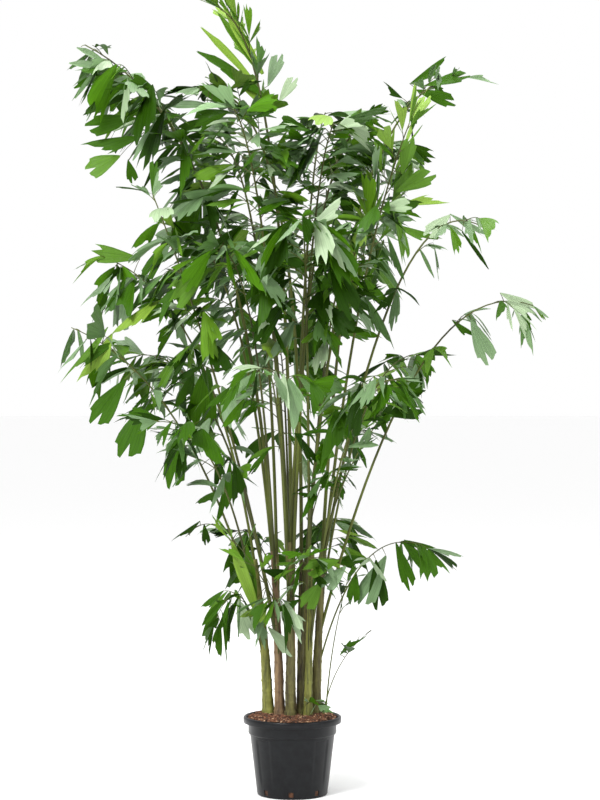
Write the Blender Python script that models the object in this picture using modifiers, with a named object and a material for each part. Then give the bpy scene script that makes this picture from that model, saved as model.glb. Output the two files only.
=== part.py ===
"""A clump of fishtail palm in a round nursery pot, as closed solids at real size.

Metres, +Z up. The pot stands on z = 0 with its axis on Z, and the clump is seen from -Y.
Each frond is one tapering stalk that widens into a thin, folded and lobed blade.
"""
import math

import bmesh
import bpy
from mathutils import Vector

GAP = 0.0003
MERGE = 0.0001

POT_HEIGHT = 0.318
POT_RIM_RADIUS = 0.200
POT_RIM_DEPTH = 0.027
POT_BAND_RADIUS = 0.180
POT_BAND_FOOT = 0.248
POT_NECK_RADIUS = 0.173
POT_BASE_RADIUS = 0.143
POT_WALL = 0.003
POT_FLOOR = 0.004
POT_STEPS = 32
RIM_WIDTH = 0.012
RIM_ROUND = 0.005
RIM_CORNER = 0.004
BAND_ROUND = 0.003

DRAIN_HOLES = 8
DRAIN_WIDTH = 0.020
DRAIN_FOOT = 0.009
DRAIN_TOP = 0.030
DRAIN_FIRST = 268

SOIL_TOP = 0.313
SOIL_EDGE = 0.304
SOIL_SHOULDER_RADIUS = 0.166

CANE_SIDES_RESOLUTION = 2
CANE_STEPS = 5
FLARE = 1.22
FLARE_DECAY = 0.018
FLARE_MIDDLE = 0.020
FLARE_TOP = 0.045
SUCKER_SINK = 0.030

# Canes: foot x and y, top x and y, top height, foot radius, top radius.
CANES = {
    "cane_left": (-0.100, 0.085, -0.152, 0.075, 0.92, 0.024, 0.011),
    "cane_ringed": (-0.052, 0.052, -0.078, 0.045, 0.96, 0.021, 0.010),
    "cane_front": (-0.008, 0.010, -0.012, -0.020, 1.00, 0.022, 0.010),
    "cane_slim": (0.031, 0.050, 0.036, 0.056, 0.92, 0.015, 0.009),
    "cane_green": (0.064, 0.015, 0.078, -0.012, 0.96, 0.018, 0.010),
    "cane_right": (0.096, 0.080, 0.128, 0.092, 0.94, 0.022, 0.011),
    "cane_back": (-0.004, 0.125, -0.002, 0.150, 0.96, 0.019, 0.010),
    "cane_rear_left": (-0.058, 0.118, -0.066, 0.140, 0.94, 0.017, 0.010),
    "cane_rear_right": (0.050, 0.122, 0.058, 0.140, 0.94, 0.018, 0.010),
}

# Fronds: cane, height on the cane, azimuth in degrees, reach, tip height,
# bend as a share of the reach, bend height, bare share, blade half width, fold in degrees,
# hang of the leaflets (1 straight down, negative pointing up).
FRONDS = {
    "frond_left_low": ("cane_left", 0.60, 187, 0.79, 1.90, 0.35, 1.70, 0.40, 0.30, 35, 1.0),
    "frond_left_mid": ("cane_left", 0.80, 177, 0.66, 2.20, 0.25, 2.05, 0.45, 0.27, 35, 1.0),
    "frond_left_high": ("cane_ringed", 0.84, 181, 0.78, 3.06, 0.12, 2.72, 0.44, 0.34, 30, 0.6),
    "frond_left_front": ("cane_ringed", 0.62, 212, 0.58, 2.42, 0.40, 1.66, 0.50, 0.22, 35, 1.0),
    "frond_left_crest": ("cane_slim", 0.86, 195, 0.43, 2.87, -0.05, 2.95, 0.55, 0.20, 30, 0.3),
    "frond_top": ("cane_back", 0.88, 188, 0.30, 3.22, 0.05, 3.10, 0.62, 0.19, 40, -0.6),
    "frond_right_high": ("cane_rear_right", 0.90, 4, 0.67, 2.95, 0.22, 2.97, 0.52, 0.20, 30, 0.6),
    "frond_right_young": ("cane_right", 0.86, 331, 0.40, 2.72, 0.35, 2.15, 0.45, 0.22, 40, -0.6),
    "frond_right_mid": ("cane_green", 0.62, 352, 0.71, 2.30, 0.45, 2.56, 0.48, 0.26, 35, 1.0),
    "frond_right_low": ("cane_right", 0.62, 355, 0.88, 1.99, 0.45, 2.17, 0.50, 0.26, 35, 1.0),
    "frond_right_inner": ("cane_green", 0.80, 344, 0.38, 1.60, 0.35, 1.43, 0.50, 0.15, 50, 0.4),
    "frond_front_low_left": ("cane_left", 0.52, 228, 0.62, 1.52, 0.35, 1.55, 0.42, 0.24, 50, 1.0),
    "frond_front_low": ("cane_front", 0.58, 262, 0.70, 1.72, 0.35, 1.80, 0.42, 0.24, 50, 1.0),
    "frond_front_low_right": ("cane_green", 0.54, 302, 0.65, 1.68, 0.35, 1.75, 0.42, 0.24, 50, 1.0),
    "frond_front_mid_left": ("cane_ringed", 0.76, 247, 0.55, 2.20, 0.25, 2.15, 0.48, 0.22, 45, 1.0),
    "frond_front_mid": ("cane_green", 0.70, 267, 0.58, 2.30, 0.25, 2.20, 0.48, 0.22, 45, 1.0),
    "frond_front_mid_right": ("cane_slim", 0.62, 308, 0.52, 2.35, 0.30, 2.20, 0.48, 0.21, 45, 1.0),
    "frond_front_high_left": ("cane_front", 0.66, 235, 0.38, 2.75, 0.32, 2.50, 0.50, 0.20, 45, 0.6),
    "frond_front_high": ("cane_front", 0.60, 303, 0.32, 2.70, 0.38, 2.50, 0.50, 0.20, 45, 0.6),
    "frond_back_low_left": ("cane_rear_left", 0.56, 147, 0.70, 1.80, 0.35, 1.80, 0.42, 0.24, 50, 1.0),
    "frond_back_low": ("cane_back", 0.50, 95, 0.72, 1.85, 0.35, 1.85, 0.42, 0.24, 50, 1.0),
    "frond_back_low_right": ("cane_right", 0.72, 45, 0.60, 1.80, 0.35, 1.80, 0.42, 0.24, 50, 1.0),
    "frond_back_mid_left": ("cane_rear_left", 0.66, 147, 0.51, 2.35, 0.25, 2.25, 0.48, 0.22, 45, 1.0),
    "frond_back_mid": ("cane_back", 0.56, 109, 0.60, 2.40, 0.25, 2.30, 0.48, 0.22, 45, 1.0),
    "frond_back_mid_right": ("cane_rear_right", 0.62, 62, 0.58, 2.35, 0.25, 2.30, 0.48, 0.22, 45, 1.0),
    "frond_back_high_left": ("cane_rear_left", 0.88, 132, 0.41, 2.75, 0.10, 2.60, 0.50, 0.20, 45, 0.6),
    "frond_back_high": ("cane_back", 0.65, 70, 0.42, 2.85, 0.34, 2.60, 0.50, 0.20, 45, 0.6),
    "frond_top_right": ("cane_front", 0.94, 22, 0.34, 2.78, 0.20, 2.60, 0.55, 0.18, 45, 0.6),
    "frond_back_high_right": ("cane_right", 0.56, 42, 0.42, 2.70, 0.25, 2.50, 0.50, 0.20, 45, 0.6),
    "spray_right": ("cane_right", 0.48, 350, 0.46, 1.00, 0.36, 1.14, 0.42, 0.24, 40, 1.0),
    "spray_left_young": ("cane_ringed", 0.76, 238, 0.33, 1.06, 0.30, 0.90, 0.30, 0.045, 40, -0.6),
    "spray_left_thin": ("cane_left", 0.66, 204, 0.34, 1.05, 0.45, 1.25, 0.50, 0.07, 40, 1.0),
    "spray_left_arched": ("cane_left", 0.48, 210, 0.24, 0.70, 0.45, 1.00, 0.35, 0.14, 45, 1.0),
    "spray_front_left": ("cane_ringed", 0.50, 265, 0.18, 0.80, 0.40, 0.85, 0.35, 0.09, 50, 1.0),
    "spray_front_right": ("cane_green", 0.50, 270, 0.18, 0.98, 0.35, 0.92, 0.40, 0.11, 50, 1.0),
    "spray_inner_right": ("cane_slim", 0.82, 318, 0.18, 1.32, 0.35, 1.28, 0.55, 0.06, 50, 1.0),
    "spray_back_left": ("cane_back", 0.50, 140, 0.30, 1.05, 0.40, 1.10, 0.40, 0.13, 50, 1.0),
    "spray_back_right": ("cane_right", 0.52, 75, 0.28, 1.10, 0.40, 1.12, 0.40, 0.13, 50, 1.0),
}

# Suckers from the soil: foot x and y, then as the fronds from the azimuth on.
SUCKERS = {
    "sucker_right": (0.124, 0.040, 0, 0.20, 0.66, 0.20, 0.55, 0.55, 0.05, 50, 0.4),
    "sucker_right_thin": (0.136, 0.062, 25, 0.10, 0.86, 0.20, 0.60, 0.70, 0.03, 50, 0.4),
    "sucker_front": (0.030, -0.045, 350, 0.07, 0.375, 0.25, 0.40, 0.40, 0.02, 40, 0.4),
}

TURN_TO_FRONT = 32
STALK_RADIUS_BASE = 0.0018
STALK_RADIUS_PER_METRE = 0.0030
STALK_TIP_SHARE = 0.35
BARE_STATIONS = 4
LOBE_LENGTH = 0.20
FEWEST_LOBES = 3
MOST_LOBES = 5
NOTCH = 0.45
LOBE_SWEEP = 0.25
BLADE_EDGE = 0.004

POT_COLOUR = (0.020, 0.021, 0.022, 1)
SOIL_COLOUR = (0.180, 0.075, 0.035, 1)
CANE_COLOUR = (0.230, 0.220, 0.060, 1)
FROND_COLOUR = (0.045, 0.160, 0.012, 1)
YOUNG_COLOUR = (0.200, 0.420, 0.030, 1)


def new_collection(name):
    made = bpy.data.collections.new(name)
    bpy.context.scene.collection.children.link(made)
    return made


def new_material(name, colour, roughness):
    made = bpy.data.materials.new(name)
    made.use_nodes = True
    shader = made.node_tree.nodes["Principled BSDF"]
    shader.inputs["Base Color"].default_value = colour
    shader.inputs["Roughness"].default_value = roughness
    shader.inputs["Metallic"].default_value = 0.0
    made.diffuse_color = colour
    return made


def new_object(name, data, material, collection):
    made = bpy.data.objects.new(name, data)
    collection.objects.link(made)
    if material:
        data.materials.append(material)
    return made


def smooth(mesh, degrees=40):
    mesh.shade_smooth()
    mesh.set_sharp_from_angle(angle=math.radians(degrees))


def hide_cutter(cutter):
    cutter.hide_render = True
    cutter.display_type = "WIRE"


def cut(piece, cutter):
    modifier = piece.modifiers.new("cut_" + cutter.name, "BOOLEAN")
    modifier.operation = "DIFFERENCE"
    modifier.solver = "EXACT"
    modifier.object = cutter


def turned(name, profile, material, collection):
    """A solid of revolution: the profile (radius, height) runs down its outer side."""
    mesh = bpy.data.meshes.new(name)
    points = [(radius, 0.0, height) for radius, height in profile]
    edges = [(i, i + 1) for i in range(len(points) - 1)]
    mesh.from_pydata(points, edges, [])
    made = new_object(name, mesh, material, collection)
    screw = made.modifiers.new("turn", "SCREW")
    screw.axis = "Z"
    screw.angle = math.tau
    screw.steps = POT_STEPS
    screw.render_steps = POT_STEPS
    screw.use_merge_vertices = True
    screw.merge_threshold = MERGE
    screw.use_smooth_shade = True
    return made


def pot_inner_radius(height):
    """The inside of the tapering wall below the band."""
    share = height / POT_BAND_FOOT
    return POT_BASE_RADIUS + share * (POT_NECK_RADIUS - POT_BASE_RADIUS) - POT_WALL


def rim_inner_radius(height):
    """The inside of the band's top and of the rim, which widens upwards."""
    foot = POT_HEIGHT - POT_RIM_DEPTH
    share = (height - foot) / (POT_HEIGHT - RIM_ROUND - foot)
    band = POT_BAND_RADIUS - POT_WALL
    return band + share * (POT_RIM_RADIUS - RIM_WIDTH - band)


def pot_profile():
    rim_foot = POT_HEIGHT - POT_RIM_DEPTH
    inner_rim = POT_RIM_RADIUS - RIM_WIDTH
    return [
        (0.0, POT_FLOOR),
        (pot_inner_radius(POT_FLOOR), POT_FLOOR),
        (pot_inner_radius(POT_BAND_FOOT), POT_BAND_FOOT),
        (POT_BAND_RADIUS - POT_WALL, POT_BAND_FOOT + RIM_CORNER),
        (POT_BAND_RADIUS - POT_WALL, rim_foot),
        (inner_rim, POT_HEIGHT - RIM_ROUND),
        (inner_rim + BAND_ROUND, POT_HEIGHT),
        (POT_RIM_RADIUS - RIM_CORNER, POT_HEIGHT),
        (POT_RIM_RADIUS, POT_HEIGHT - RIM_ROUND),
        (POT_RIM_RADIUS, rim_foot + RIM_ROUND),
        (POT_RIM_RADIUS - RIM_CORNER, rim_foot),
        (POT_BAND_RADIUS, rim_foot - BAND_ROUND),
        (POT_BAND_RADIUS, POT_BAND_FOOT + BAND_ROUND),
        (POT_NECK_RADIUS, POT_BAND_FOOT - BAND_ROUND),
        (POT_BASE_RADIUS, BAND_ROUND),
        (POT_BASE_RADIUS - BAND_ROUND, 0.0),
        (0.0, 0.0),
    ]


def drain_cutter(cutters):
    """Eight blocks round the foot of the wall."""
    shape = bmesh.new()
    inner = POT_BASE_RADIUS - 3 * POT_WALL
    outer = POT_BASE_RADIUS + 4 * POT_WALL
    for index in range(DRAIN_HOLES):
        angle = math.tau * (index / DRAIN_HOLES) + math.radians(DRAIN_FIRST)
        block = bmesh.ops.create_cube(shape, size=1.0)["verts"]
        size = Vector((outer - inner, DRAIN_WIDTH, DRAIN_TOP - DRAIN_FOOT))
        centre = Vector(((outer + inner) / 2, 0.0, (DRAIN_TOP + DRAIN_FOOT) / 2))
        for corner in block:
            x, y, z = (corner.co[axis] * size[axis] + centre[axis] for axis in range(3))
            corner.co = (
                x * math.cos(angle) - y * math.sin(angle),
                x * math.sin(angle) + y * math.cos(angle),
                z,
            )
    mesh = bpy.data.meshes.new("drain_cutter")
    shape.to_mesh(mesh)
    shape.free()
    made = new_object("drain_cutter", mesh, None, cutters)
    hide_cutter(made)
    return made


def make_pot(parts, cutters):
    black = new_material("black_plastic", POT_COLOUR, 0.45)
    pot = turned("pot", pot_profile(), black, parts)
    cut(pot, drain_cutter(cutters))


def make_root_ball(parts):
    bark = new_material("bark_compost", SOIL_COLOUR, 0.95)
    floor = POT_FLOOR + GAP
    low = pot_inner_radius(floor) - GAP
    neck = pot_inner_radius(POT_BAND_FOOT) - GAP
    band = POT_BAND_RADIUS - POT_WALL - GAP
    profile = [
        (0.0, SOIL_TOP),
        (SOIL_SHOULDER_RADIUS, SOIL_TOP),
        (rim_inner_radius(SOIL_EDGE) - 2 * GAP, SOIL_EDGE),
        (band, POT_HEIGHT - POT_RIM_DEPTH),
        (band, POT_BAND_FOOT + RIM_CORNER),
        (neck, POT_BAND_FOOT),
        (low, floor),
        (0.0, floor),
    ]
    turned("root_ball", profile, bark, parts)


def cane_point(name, height):
    """The cane's centre line: it leans more towards its top."""
    foot_x, foot_y, top_x, top_y, top_z, _, _ = CANES[name]
    share = (height - SOIL_TOP) / (top_z - SOIL_TOP)
    ease = share * (0.4 + 0.6 * share)
    return Vector((foot_x + ease * (top_x - foot_x), foot_y + ease * (top_y - foot_y), height))


def cane_radius(name, height):
    _, _, _, _, top_z, foot_radius, top_radius = CANES[name]
    share = (height - SOIL_TOP) / (top_z - SOIL_TOP)
    flare = (FLARE - 1.0) * math.exp((SOIL_TOP - height) / FLARE_DECAY)
    return (foot_radius + share * (top_radius - foot_radius)) * (1.0 + flare)


def tube(name, points, radii, material, collection):
    """A closed tube through the points, made a mesh so that it can be cut."""
    curve = bpy.data.curves.new(name + "_line", "CURVE")
    curve.dimensions = "3D"
    curve.bevel_depth = 1.0
    curve.bevel_resolution = CANE_SIDES_RESOLUTION
    curve.use_fill_caps = True
    spline = curve.splines.new("POLY")
    spline.points.add(len(points) - 1)
    for target, point, radius in zip(spline.points, points, radii):
        target.co = (*point, 1.0)
        target.radius = radius
    line = new_object(name + "_line", curve, None, collection)
    graph = bpy.context.evaluated_depsgraph_get()
    mesh = bpy.data.meshes.new_from_object(line.evaluated_get(graph))
    shape = bmesh.new()
    shape.from_mesh(mesh)
    bmesh.ops.remove_doubles(shape, verts=shape.verts, dist=MERGE)
    bmesh.ops.recalc_face_normals(shape, faces=shape.faces)
    shape.to_mesh(mesh)
    shape.free()
    mesh.name = name
    made = new_object(name, mesh, material, collection)
    made.matrix_world = line.matrix_world
    bpy.data.objects.remove(line)
    smooth(mesh, 60)
    return made


def make_cane(name, parts, cutters):
    """Returns the cutter that the cane's stalks are fitted against."""
    top = CANES[name][4]
    start = SOIL_TOP + GAP
    heights = [start, start + FLARE_MIDDLE]
    above = start + FLARE_TOP
    heights += [above + (top - above) * k / CANE_STEPS for k in range(CANE_STEPS + 1)]
    points = [cane_point(name, height) for height in heights]
    points[1].xy = points[0].xy
    radii = [cane_radius(name, height) for height in heights]
    bark = new_material(name + "_bark", CANE_COLOUR, 0.6)
    tube(name, points, radii, bark, parts)
    wider = [radius + GAP for radius in radii]
    cutter = tube(name + "_cutter", points, wider, None, cutters)
    hide_cutter(cutter)
    return cutter


def soil_cutter(cutters):
    """A slab whose top is the level on which the suckers are cut flat."""
    bpy.ops.mesh.primitive_cube_add(size=1.0)
    made = bpy.context.object
    made.name = "soil_cutter"
    made.data.transform(made.matrix_world)
    for corner in made.data.vertices:
        corner.co.x *= 2 * POT_RIM_RADIUS
        corner.co.y *= 2 * POT_RIM_RADIUS
        corner.co.z = SOIL_TOP + GAP if corner.co.z > 0 else SOIL_TOP - 3 * SUCKER_SINK
    for owner in list(made.users_collection):
        owner.objects.unlink(made)
    cutters.objects.link(made)
    hide_cutter(made)
    return made


def bend_curve(foot, bend, tip, share):
    """A point of the rachis, and its direction there."""
    rest = 1.0 - share
    point = rest * rest * foot + 2 * rest * share * bend + share * share * tip
    along = rest * (bend - foot) + share * (tip - bend)
    return point, along.normalized()


def curve_length(foot, bend, tip):
    points = [bend_curve(foot, bend, tip, k / 20)[0] for k in range(21)]
    return sum((b - a).length for a, b in zip(points, points[1:]))


def blade_share(along):
    """Half width along the blade, from 0 at its start to a blunt fishtail end."""
    return math.sin(math.pi * along ** 0.65) + 0.35 * along


def frond_stations(bare, blade_length):
    """(share of the rachis, share of the half width) from foot to tip."""
    stations = [(bare * k / BARE_STATIONS, 0.0) for k in range(BARE_STATIONS + 1)]
    lobes = round(blade_length / LOBE_LENGTH)
    lobes = min(MOST_LOBES, max(FEWEST_LOBES, lobes))
    for k in range(1, 2 * lobes):
        along = k / (2 * lobes - 1)
        tooth = 1.0 if k % 2 else NOTCH
        stations.append((bare + (1.0 - bare) * along, tooth * blade_share(along)))
    return stations


def frond_ring(point, along, side, width, stalk, fold, hang):
    """Six corners: a stalk where the width is nil, else a folded blade with a thin edge."""
    normal = along.cross(side)
    if width <= 0.0:
        angles = [math.radians(150 - 60 * k) for k in range(6)]
        return [point + stalk * (math.cos(a) * side + math.sin(a) * normal) for a in angles]
    drop = (-normal + hang * Vector((0, 0, -1))).normalized()
    out = width * math.cos(fold)
    down = width * math.sin(fold) * drop + LOBE_SWEEP * width * along
    left = point - out * side + down
    right = point + out * side + down
    edge = normal * BLADE_EDGE / 2
    crest = normal * stalk
    return [left + edge, point + crest, right + edge, right - edge, point - crest, left - edge]


def loft(name, rings, material, collection):
    shape = bmesh.new()
    rows = [[shape.verts.new(corner) for corner in ring] for ring in rings]
    for row, after in zip(rows, rows[1:]):
        for k in range(len(row)):
            n = (k + 1) % len(row)
            shape.faces.new((row[k], row[n], after[n], after[k]))
    shape.faces.new(list(reversed(rows[0])))
    shape.faces.new(rows[-1])
    bmesh.ops.triangulate(shape, faces=shape.faces)
    bmesh.ops.recalc_face_normals(shape, faces=shape.faces)
    mesh = bpy.data.meshes.new(name)
    shape.to_mesh(mesh)
    shape.free()
    smooth(mesh, 30)
    return new_object(name, mesh, material, collection)


def make_frond(name, foot, shape, seat, parts):
    """One frond from its foot, cut where it meets its cane or the soil."""
    azimuth, reach, tip_height, lean, bend_height, bare, width, fold, hang = shape
    heading = Vector((math.cos(math.radians(azimuth)), math.sin(math.radians(azimuth)), 0))
    level = Vector((-heading.y, heading.x, 0))
    turn = math.radians(TURN_TO_FRONT) * heading.x
    bend = Vector((foot.x, foot.y, bend_height)) + lean * reach * heading
    tip = Vector((foot.x, foot.y, tip_height)) + reach * heading
    length = curve_length(foot, bend, tip)
    thick = STALK_RADIUS_BASE + STALK_RADIUS_PER_METRE * length
    rings = []
    for share, wide in frond_stations(bare, length * (1 - bare)):
        point, along = bend_curve(foot, bend, tip, share)
        side = math.cos(turn) * level + math.sin(turn) * along.cross(level)
        stalk = thick * (1 - (1 - STALK_TIP_SHARE) * share)
        rings.append(
            frond_ring(point, along, side, width * wide, stalk, math.radians(fold), hang)
        )
    colour = YOUNG_COLOUR if hang < 0 else FROND_COLOUR
    material = new_material(name + "_leaf", colour, 0.5)
    cut(loft(name, rings, material, parts), seat)


def main():
    for old in list(bpy.data.objects):
        bpy.data.objects.remove(old)
    parts = new_collection("fishtail_palm")
    cutters = new_collection("cutters")
    make_pot(parts, cutters)
    make_root_ball(parts)
    seats = {name: make_cane(name, parts, cutters) for name in CANES}
    for name, (cane, height, *shape) in FRONDS.items():
        make_frond(name, cane_point(cane, height), shape, seats[cane], parts)
    ground = soil_cutter(cutters)
    for name, (foot_x, foot_y, *shape) in SUCKERS.items():
        foot = Vector((foot_x, foot_y, SOIL_TOP - SUCKER_SINK))
        make_frond(name, foot, shape, ground, parts)


main()
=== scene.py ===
"""The looks of a fishtail palm clump in a black nursery pot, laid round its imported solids.

Metres, +Z up, seen from -Y. The stalks follow the same curves as the solids, and every side rib
and leaflet grows on from them by a seeded rule.
"""

import math
import random

import bmesh
import bpy
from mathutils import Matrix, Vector, noise


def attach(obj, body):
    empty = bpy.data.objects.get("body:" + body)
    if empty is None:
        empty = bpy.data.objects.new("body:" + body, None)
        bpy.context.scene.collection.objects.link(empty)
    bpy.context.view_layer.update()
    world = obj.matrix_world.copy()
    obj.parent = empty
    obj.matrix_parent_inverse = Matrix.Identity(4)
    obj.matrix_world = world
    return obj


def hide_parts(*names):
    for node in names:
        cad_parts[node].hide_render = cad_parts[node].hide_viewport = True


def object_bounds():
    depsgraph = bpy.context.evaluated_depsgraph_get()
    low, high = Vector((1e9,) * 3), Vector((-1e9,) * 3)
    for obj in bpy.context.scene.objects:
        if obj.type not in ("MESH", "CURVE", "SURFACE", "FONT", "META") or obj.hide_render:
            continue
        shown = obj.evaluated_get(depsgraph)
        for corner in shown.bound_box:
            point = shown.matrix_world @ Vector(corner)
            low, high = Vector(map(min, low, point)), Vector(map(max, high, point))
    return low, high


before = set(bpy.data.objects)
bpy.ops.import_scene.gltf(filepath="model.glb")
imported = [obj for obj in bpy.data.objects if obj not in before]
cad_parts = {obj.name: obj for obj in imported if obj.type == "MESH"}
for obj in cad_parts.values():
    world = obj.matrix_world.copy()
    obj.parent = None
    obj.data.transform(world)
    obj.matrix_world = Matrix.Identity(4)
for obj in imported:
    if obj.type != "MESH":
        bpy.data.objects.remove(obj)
cad_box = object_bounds()

DRAW = random.Random(20)
UP = Vector((0, 0, 1))

# The pot and the soil, as in the solids.
POT_HEIGHT = 0.318
RIM_RADIUS = 0.200
RIM_DEPTH = 0.027
BAND_RADIUS = 0.180
BAND_FOOT = 0.248
NECK_RADIUS = 0.173
BASE_RADIUS = 0.143
WALL = 0.003
POT_FLOOR = 0.004
DRAIN_HOLES = 8
DRAIN_WIDTH = 0.020
DRAIN_FOOT = 0.009
DRAIN_TOP = 0.030
DRAIN_FIRST = 268
WALL_FOOT = 0.004
WALL_SLACK = 0.0015
SHARP_ANGLE = 35
FLUTE_FOOT = 0.05
FLUTE_TOP = BAND_FOOT - 0.013
FLUTE_START = 33
FLUTE_DEPTH = 0.0022
SOIL_TOP = 0.313
SOIL_RADIUS = 0.180
SOIL_FALL = 0.009
SHOULDER_RADIUS = 0.166
SHOULDER_WIDTH = 0.018

# Canes: foot x and y, top x and y, top height, foot radius, top radius.
CANES = {
    "cane_left": (-0.100, 0.085, -0.152, 0.075, 0.92, 0.024, 0.011),
    "cane_ringed": (-0.052, 0.052, -0.078, 0.045, 0.96, 0.021, 0.010),
    "cane_front": (-0.008, 0.010, -0.012, -0.020, 1.00, 0.022, 0.010),
    "cane_slim": (0.031, 0.050, 0.036, 0.056, 0.92, 0.015, 0.009),
    "cane_green": (0.064, 0.015, 0.078, -0.012, 0.96, 0.018, 0.010),
    "cane_right": (0.096, 0.080, 0.128, 0.092, 0.94, 0.022, 0.011),
    "cane_back": (-0.004, 0.125, -0.002, 0.150, 0.96, 0.019, 0.010),
    "cane_rear_left": (-0.058, 0.118, -0.066, 0.140, 0.94, 0.017, 0.010),
    "cane_rear_right": (0.050, 0.122, 0.058, 0.140, 0.94, 0.018, 0.010),
}

# Fronds: cane, height on the cane, azimuth in degrees, reach, tip height, bend as a share of the reach,
# bend height, bare share, half width, hang of the leaflets (1 straight down, negative pointing up).
FRONDS = {
    "frond_left_low": ("cane_left", 0.60, 187, 0.79, 1.90, 0.35, 1.70, 0.40, 0.30, 1.0),
    "frond_left_mid": ("cane_left", 0.80, 177, 0.66, 2.20, 0.25, 2.05, 0.45, 0.27, 1.0),
    "frond_left_high": ("cane_ringed", 0.84, 181, 0.78, 3.06, 0.12, 2.72, 0.44, 0.34, 1.0),
    "frond_left_front": ("cane_ringed", 0.62, 212, 0.58, 2.42, 0.40, 1.66, 0.50, 0.22, 1.0),
    "frond_left_crest": ("cane_slim", 0.86, 195, 0.43, 2.87, -0.05, 2.95, 0.55, 0.20, 0.3),
    "frond_top": ("cane_back", 0.88, 188, 0.30, 3.22, 0.05, 3.10, 0.62, 0.19, -0.6),
    "frond_right_high": ("cane_rear_right", 0.90, 4, 0.67, 2.95, 0.22, 2.97, 0.52, 0.20, 0.6),
    "frond_right_young": ("cane_right", 0.86, 331, 0.40, 2.72, 0.35, 2.15, 0.45, 0.22, -0.6),
    "frond_right_mid": ("cane_green", 0.62, 352, 0.71, 2.30, 0.45, 2.56, 0.48, 0.26, 1.0),
    "frond_right_low": ("cane_right", 0.62, 355, 0.88, 1.99, 0.45, 2.17, 0.50, 0.26, 1.0),
    "frond_right_inner": ("cane_green", 0.80, 344, 0.38, 1.60, 0.35, 1.43, 0.50, 0.15, 0.4),
    "frond_front_low_left": ("cane_left", 0.52, 228, 0.62, 1.52, 0.35, 1.55, 0.42, 0.24, 1.0),
    "frond_front_low": ("cane_front", 0.58, 262, 0.70, 1.72, 0.35, 1.80, 0.42, 0.24, 1.0),
    "frond_front_low_right": ("cane_green", 0.54, 302, 0.65, 1.68, 0.35, 1.75, 0.42, 0.24, 1.0),
    "frond_front_mid_left": ("cane_ringed", 0.76, 247, 0.55, 2.20, 0.25, 2.15, 0.48, 0.22, 1.0),
    "frond_front_mid": ("cane_green", 0.70, 267, 0.58, 2.30, 0.25, 2.20, 0.48, 0.22, 1.0),
    "frond_front_mid_right": ("cane_slim", 0.62, 308, 0.52, 2.35, 0.30, 2.20, 0.48, 0.21, 1.0),
    "frond_front_high_left": ("cane_front", 0.66, 235, 0.38, 2.75, 0.32, 2.50, 0.50, 0.20, 0.6),
    "frond_front_high": ("cane_front", 0.60, 303, 0.32, 2.70, 0.38, 2.50, 0.50, 0.20, 0.6),
    "frond_back_low_left": ("cane_rear_left", 0.56, 147, 0.70, 1.80, 0.35, 1.80, 0.42, 0.24, 1.0),
    "frond_back_low": ("cane_back", 0.50, 95, 0.72, 1.85, 0.35, 1.85, 0.42, 0.24, 1.0),
    "frond_back_low_right": ("cane_right", 0.72, 45, 0.60, 1.80, 0.35, 1.80, 0.42, 0.24, 1.0),
    "frond_back_mid_left": ("cane_rear_left", 0.66, 147, 0.51, 2.35, 0.25, 2.25, 0.48, 0.22, 1.0),
    "frond_back_mid": ("cane_back", 0.56, 109, 0.60, 2.40, 0.25, 2.30, 0.48, 0.22, 1.0),
    "frond_back_mid_right": ("cane_rear_right", 0.62, 62, 0.58, 2.35, 0.25, 2.30, 0.48, 0.22, 1.0),
    "frond_back_high_left": ("cane_rear_left", 0.88, 132, 0.41, 2.75, 0.10, 2.60, 0.50, 0.20, 0.6),
    "frond_back_high": ("cane_back", 0.65, 70, 0.42, 2.85, 0.34, 2.60, 0.50, 0.20, 0.6),
    "frond_top_right": ("cane_front", 0.94, 22, 0.34, 2.78, 0.20, 2.60, 0.55, 0.18, 0.6),
    "frond_back_high_right": ("cane_right", 0.56, 42, 0.42, 2.70, 0.25, 2.50, 0.50, 0.20, 0.6),
    "spray_right": ("cane_right", 0.48, 350, 0.46, 1.00, 0.36, 1.14, 0.42, 0.24, 1.0),
    "spray_left_young": ("cane_ringed", 0.76, 238, 0.33, 1.06, 0.30, 0.90, 0.30, 0.045, -0.6),
    "spray_left_thin": ("cane_left", 0.66, 204, 0.34, 1.05, 0.45, 1.25, 0.50, 0.07, 1.0),
    "spray_left_arched": ("cane_left", 0.48, 210, 0.24, 0.70, 0.45, 1.00, 0.35, 0.14, 1.0),
    "spray_front_left": ("cane_ringed", 0.50, 265, 0.18, 0.80, 0.40, 0.85, 0.35, 0.09, 1.0),
    "spray_front_right": ("cane_green", 0.50, 270, 0.18, 0.98, 0.35, 0.92, 0.40, 0.11, 1.0),
    "spray_inner_right": ("cane_slim", 0.82, 318, 0.18, 1.32, 0.35, 1.28, 0.55, 0.06, 1.0),
    "spray_back_left": ("cane_back", 0.50, 140, 0.30, 1.05, 0.40, 1.10, 0.40, 0.13, 1.0),
    "spray_back_right": ("cane_right", 0.52, 75, 0.28, 1.10, 0.40, 1.12, 0.40, 0.13, 1.0),
}

# Suckers from the soil: foot x and y, then as the fronds from the azimuth on.
SUCKERS = {
    "sucker_right": (0.124, 0.040, 0, 0.20, 0.66, 0.20, 0.55, 0.55, 0.05, 0.4),
    "sucker_right_thin": (0.136, 0.062, 25, 0.10, 0.86, 0.20, 0.60, 0.70, 0.03, 0.4),
    "sucker_front": (0.030, -0.045, 350, 0.07, 0.375, 0.25, 0.40, 0.40, 0.02, 0.4),
}
SUCKER_SINK = 0.010

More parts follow.
